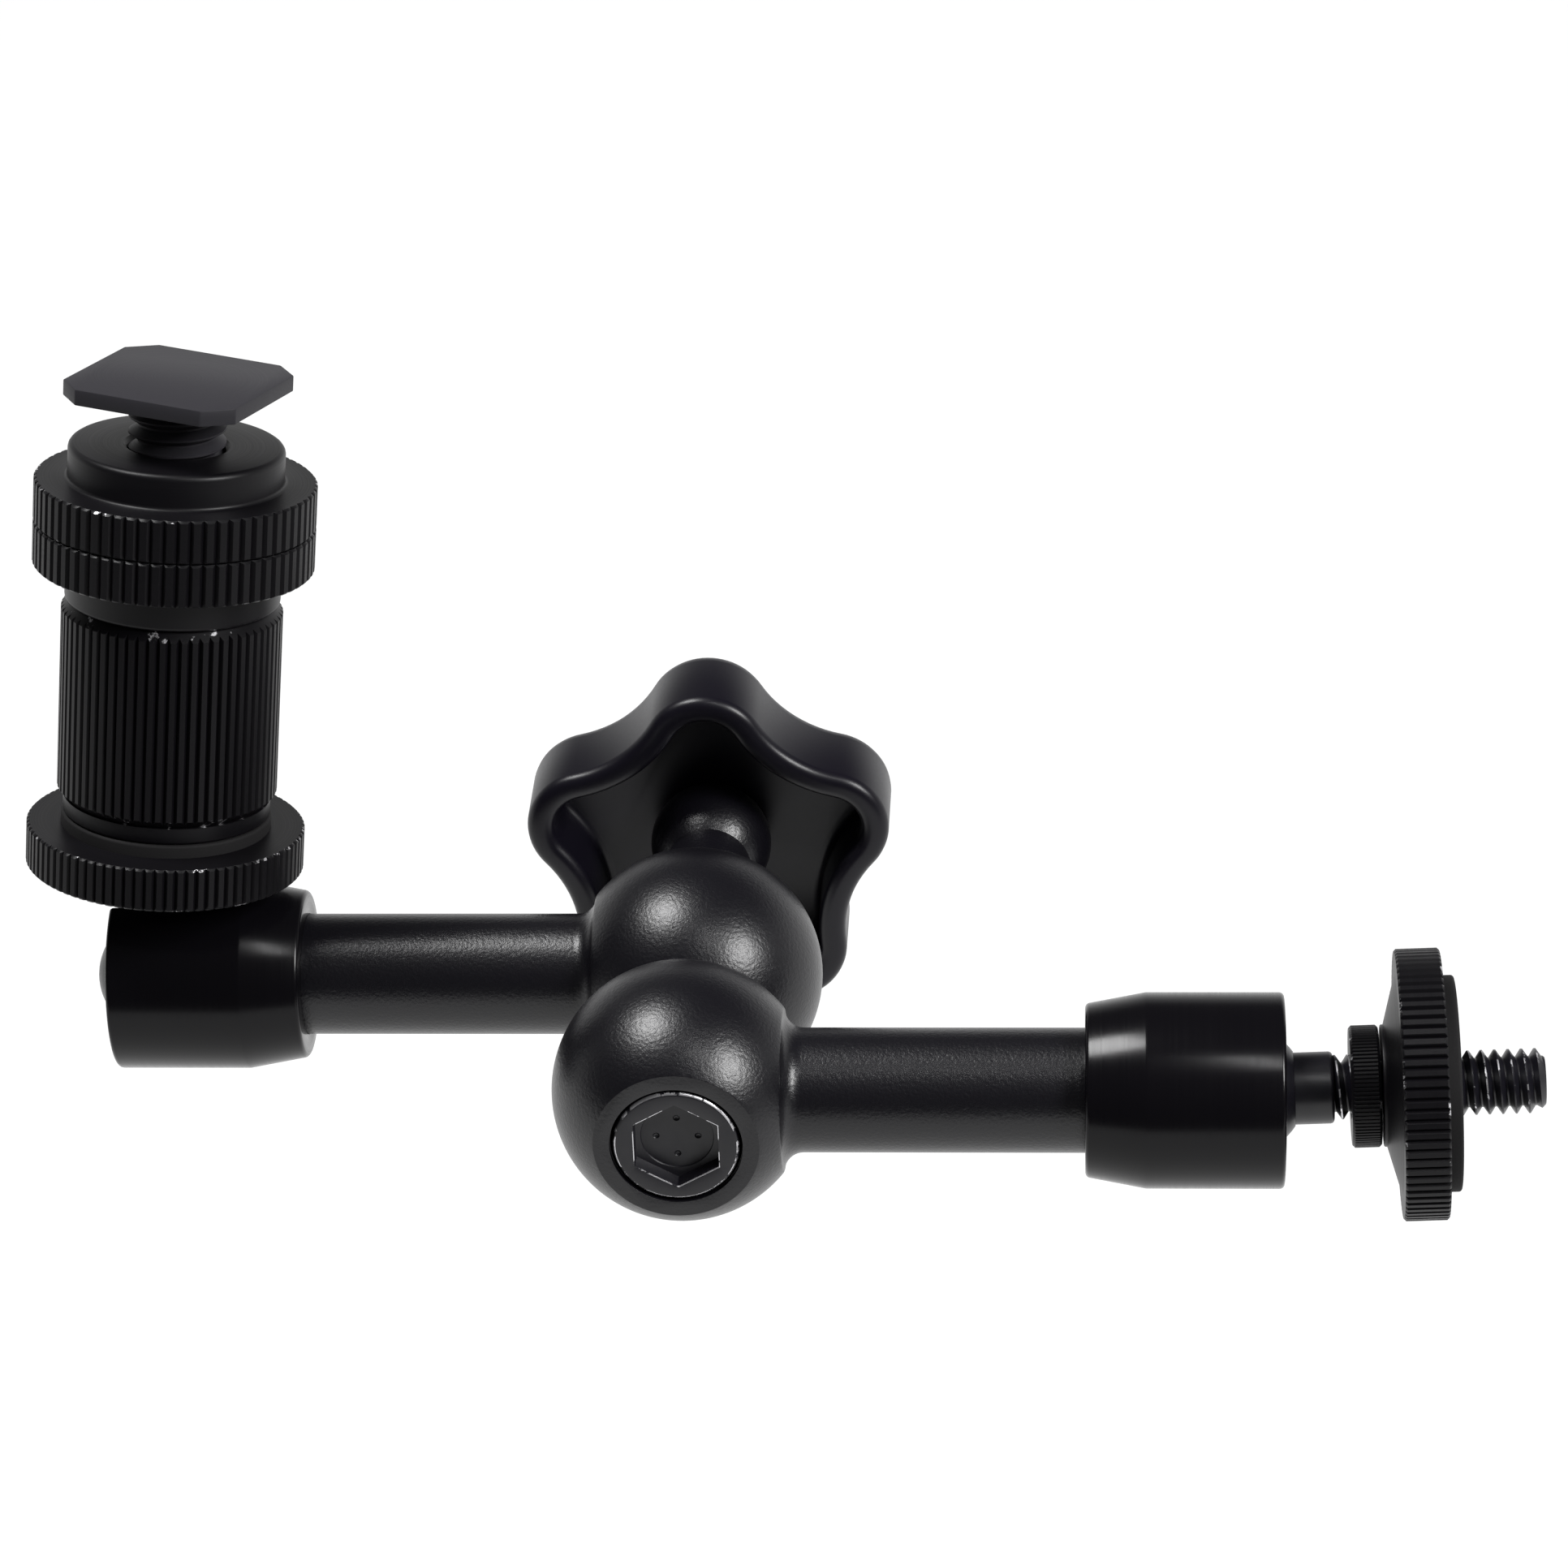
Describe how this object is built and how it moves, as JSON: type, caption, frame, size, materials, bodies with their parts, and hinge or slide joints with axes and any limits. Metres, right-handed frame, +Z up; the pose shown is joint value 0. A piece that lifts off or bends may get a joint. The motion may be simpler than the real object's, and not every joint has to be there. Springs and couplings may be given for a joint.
{
  "type": "articulating_friction_arm",
  "caption": "Articulating friction arm: two black arms on an elbow with a lobed clamping knob, a ball stud at each end, and an accessory shoe adapter with lock nuts on the tip",
  "frame": {"origin": "centre of the base pad front face, where the bare screw of the base ball stud starts", "axes": "+X out along the base screw, +Z up beside the upright shoe adapter, +Y to the rear, towards the knob"},
  "size_m": [0.1479, 0.0681, 0.0837],
  "materials": {
    "powder_coat": "fine-grained black powder coat",
    "anodised": "satin black anodised, turned and knurled",
    "black_oxide": "black oxide steel",
    "bright_steel": "plain turned steel",
    "knob_plastic": "moulded semi-gloss black plastic",
    "rubber": "matt black rubber",
    "brass": "turned brass"
  },
  "bodies": {
    "base": {"base_ball_stud": "black_oxide"},
    "base_pivot": {"base_ball": "black_oxide"},
    "base_nut": {"base_jam_nut": "anodised"},
    "base_disc": {"base_lock_disc": "anodised", "base_pad": "rubber"},
    "front_arm_body": {"front_arm": "powder_coat", "front_socket_cap": "anodised", "front_ball_cup": "black_oxide", "friction_washer": "knob_plastic", "release_spring": "bright_steel"},
    "front_rod": {"front_push_rod": "bright_steel"},
    "bolt": {"draw_bolt": "black_oxide"},
    "rear_arm_body": {"rear_arm": "powder_coat", "rear_socket_cap": "anodised", "rear_ball_cup": "black_oxide"},
    "rear_rod": {"rear_push_rod": "bright_steel"},
    "thrust": {"rear_wedge": "bright_steel", "thrust_cone": "powder_coat"},
    "knob_body": {"knob": "knob_plastic", "knob_insert": "brass"},
    "tip_stud": {"tip_ball_stud": "black_oxide"},
    "tip_disc": {"tip_lock_disc": "anodised", "tip_pad": "rubber"},
    "coupling": {"coupling_barrel": "anodised"},
    "foot": {"shoe_foot": "anodised"},
    "lower_nut": {"lower_shoe_nut": "anodised"},
    "upper_nut": {"upper_shoe_nut": "anodised"}
  },
  "joints": [
    {"name": "base_swivel", "type": "hinge", "parent": "base", "child": "base_pivot", "pos_m": [-0.0206, 0, 0], "axis": [1, 0, 0], "continuous": true},
    {"name": "base_tilt", "type": "hinge", "parent": "base_pivot", "child": "front_arm_body", "pos_m": [-0.0206, 0, 0], "axis": [0, -1, 0], "range_deg": [-11, 92]},
    {"name": "base_nut_turn", "type": "hinge", "parent": "base", "child": "base_nut", "pos_m": [-0.0206, 0, 0], "axis": [1, 0, 0], "continuous": true},
    {"name": "base_disc_turn", "type": "hinge", "parent": "base", "child": "base_disc", "pos_m": [-0.0206, 0, 0], "axis": [1, 0, 0], "continuous": true},
    {"name": "elbow", "type": "hinge", "parent": "front_arm_body", "child": "rear_arm_body", "pos_m": [-0.07409, 0.01034, 0.00388], "axis": [0.0067, 0.9848, 0.1735], "continuous": true},
    {"name": "tip_tilt", "type": "hinge", "parent": "rear_arm_body", "child": "tip_stud", "pos_m": [-0.12758, 0.02068, 0.00776], "axis": [0, -1, 0], "range_deg": [0, 108]},
    {"name": "tip_disc_turn", "type": "hinge", "parent": "tip_stud", "child": "tip_disc", "pos_m": [-0.12758, 0.02068, 0.00776], "axis": [0.1253, 0, 0.9921], "continuous": true},
    {"name": "coupling_turn", "type": "hinge", "parent": "tip_stud", "child": "coupling", "pos_m": [-0.12758, 0.02068, 0.00776], "axis": [0.1253, 0, 0.9921], "continuous": true},
    {"name": "foot_turn", "type": "hinge", "parent": "coupling", "child": "foot", "pos_m": [-0.12758, 0.02068, 0.00776], "axis": [0.1253, 0, 0.9921], "continuous": true},
    {"name": "lower_nut_turn", "type": "hinge", "parent": "foot", "child": "lower_nut", "pos_m": [-0.12758, 0.02068, 0.00776], "axis": [0.1253, 0, 0.9921], "continuous": true},
    {"name": "upper_nut_travel", "type": "slide", "parent": "foot", "child": "upper_nut", "axis": [0.1253, 0, 0.9921], "range_m": [0, 0.0045]},
    {"name": "knob_turn", "type": "hinge", "parent": "thrust", "child": "knob_body", "pos_m": [-0.07409, 0.01034, 0.00388], "axis": [-0.0067, -0.9848, -0.1735], "range_deg": [0, 540]},
    {"name": "bolt_draw", "type": "slide", "parent": "front_arm_body", "child": "bolt", "axis": [0.0067, 0.9848, 0.1735], "range_m": [0, 0.00075]},
    {"name": "thrust_slide", "type": "slide", "parent": "rear_arm_body", "child": "thrust", "axis": [-0.0067, -0.9848, -0.1735], "range_m": [0, 0.00075]},
    {"name": "front_rod_push", "type": "slide", "parent": "front_arm_body", "child": "front_rod", "axis": [0.9993, 0, -0.0384], "range_m": [0, 0.000164]},
    {"name": "rear_rod_push", "type": "slide", "parent": "rear_arm_body", "child": "rear_rod", "axis": [-0.9993, 0, 0.0384], "range_m": [0, 0.000164]}
  ]
}
